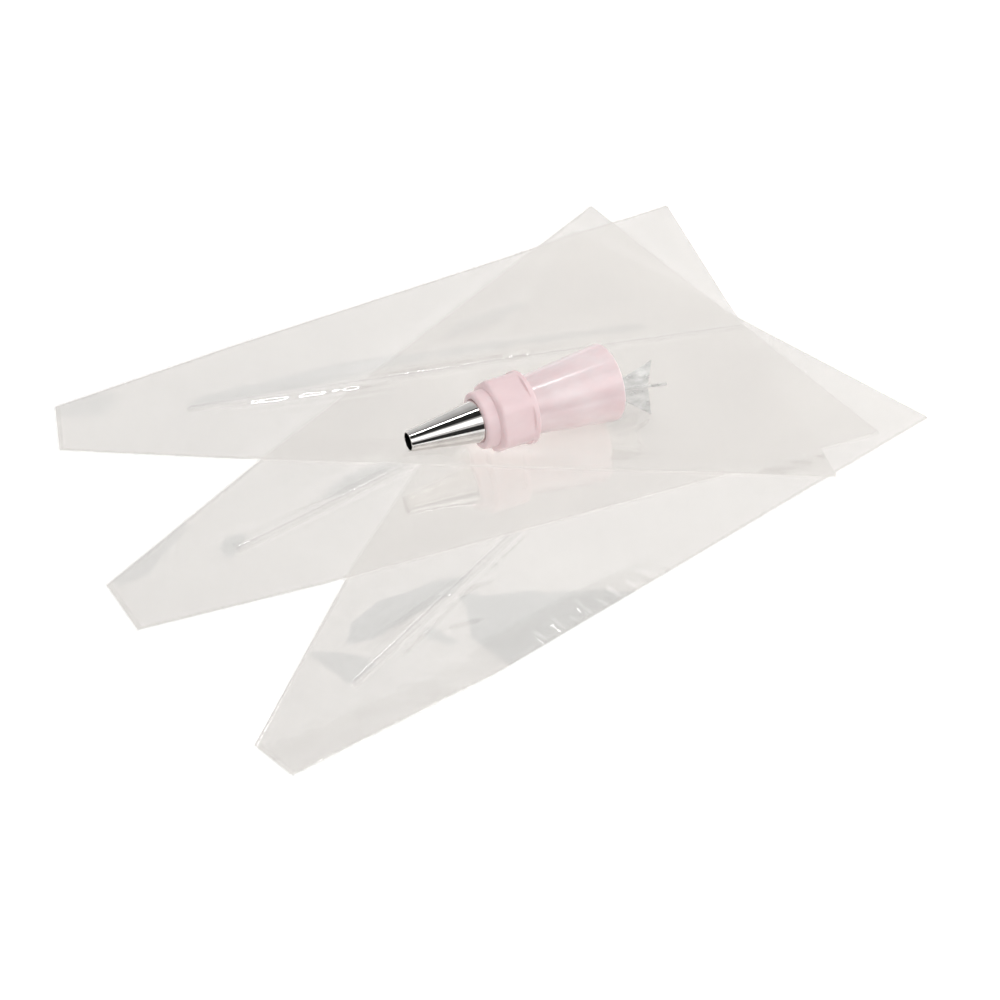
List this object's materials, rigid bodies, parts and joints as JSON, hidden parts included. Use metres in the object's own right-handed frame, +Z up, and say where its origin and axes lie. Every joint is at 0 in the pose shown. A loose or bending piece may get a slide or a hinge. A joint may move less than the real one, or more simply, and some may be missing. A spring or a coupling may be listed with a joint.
{
  "type": "piping bag set",
  "caption": "Fan of flat clear tapered icing bags with centre seams, and a pink screw coupler holding a round steel nozzle and a clear vaned divider.",
  "frame": {"origin": "middle of the footprint of the whole set, on the table it lies on", "axes": "+Z up; the coupler's axis lies along X with the nozzle's outlet towards -X, and the bags' open ends are towards +X"},
  "size_m": [0.3414, 0.236, 0.0355],
  "materials": {
    "bag_film": "clear thin glossy film",
    "heat_weld": "welded film, slightly hazy",
    "nozzle_steel": "polished stainless steel",
    "nut_plastic": "satin translucent pale pink",
    "base_plastic": "glossy translucent pale pink",
    "clear_plastic": "clear glossy moulding"
  },
  "bodies": {
    "lower_bag": {"lower_bag_back_film": "bag_film", "lower_bag_inner_film": "bag_film", "lower_bag_front_film": "bag_film", "lower_bag_left_seal": "heat_weld", "lower_bag_right_seal": "heat_weld", "lower_bag_tip_seal": "heat_weld", "lower_bag_centre_seam": "heat_weld"},
    "middle_bag": {"middle_bag_back_film": "bag_film", "middle_bag_inner_film": "bag_film", "middle_bag_front_film": "bag_film", "middle_bag_left_seal": "heat_weld", "middle_bag_right_seal": "heat_weld", "middle_bag_tip_seal": "heat_weld", "middle_bag_centre_seam": "heat_weld"},
    "upper_bag": {"upper_bag_back_film": "bag_film", "upper_bag_inner_film": "bag_film", "upper_bag_front_film": "bag_film", "upper_bag_left_seal": "heat_weld", "upper_bag_right_seal": "heat_weld", "upper_bag_tip_seal": "heat_weld", "upper_bag_centre_seam": "heat_weld"},
    "coupler_base": {"base": "base_plastic"},
    "nozzle_body": {"nozzle": "nozzle_steel"},
    "nut_body": {"nut": "nut_plastic"},
    "divider_body": {"divider": "clear_plastic"}
  },
  "joints": [
    {"name": "middle_bag_lift", "type": "slide", "parent": "lower_bag", "child": "middle_bag", "axis": [0, 0, 1], "range_m": [0, 0.06]},
    {"name": "upper_bag_lift", "type": "slide", "parent": "middle_bag", "child": "upper_bag", "axis": [0, 0, 1], "range_m": [0, 0.06]},
    {"name": "coupler_lift", "type": "slide", "parent": "upper_bag", "child": "coupler_base", "axis": [0, 0, 1], "range_m": [0, 0.08]},
    {"name": "nozzle_travel", "type": "slide", "parent": "coupler_base", "child": "nozzle_body", "axis": [-1, 0, 0], "range_m": [0, 0.00485]},
    {"name": "nut_turn", "type": "hinge", "parent": "nozzle_body", "child": "nut_body", "pos_m": [-0.0095, -0.01191, 0.0191], "axis": [-1, 0, 0], "range_deg": [0, 540]},
    {"name": "divider_pull", "type": "slide", "parent": "coupler_base", "child": "divider_body", "axis": [1, 0, 0], "range_m": [0, 0.03]}
  ],
  "couplings": [
    {"joint": "nozzle_travel", "follows": "nut_turn", "m_per_rad": 0.0005093}
  ]
}
